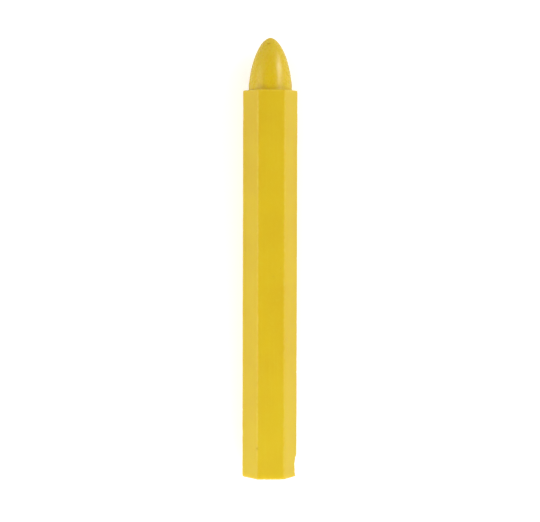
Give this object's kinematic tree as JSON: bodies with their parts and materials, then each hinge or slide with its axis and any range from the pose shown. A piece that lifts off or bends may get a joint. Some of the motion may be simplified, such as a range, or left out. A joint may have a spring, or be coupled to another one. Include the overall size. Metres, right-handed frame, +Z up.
{
  "type": "tire marking chalk",
  "caption": "Hexagonal stick of yellow wax chalk with a blunt bullet tip on a shoulder, for marking tyres, lying on one flat.",
  "frame": {"origin": "on the surface the stick lies on, below the middle of its length and width", "axes": "+X along the stick, from the butt end to the tip; +Z up, square to the flats it lies on; +Y to its left side"},
  "size_m": [0.0858, 0.0106, 0.0093],
  "materials": {
    "yellow_wax": "satin"
  },
  "bodies": {
    "root": {"chalk_stick": "yellow_wax"}
  },
  "joints": []
}
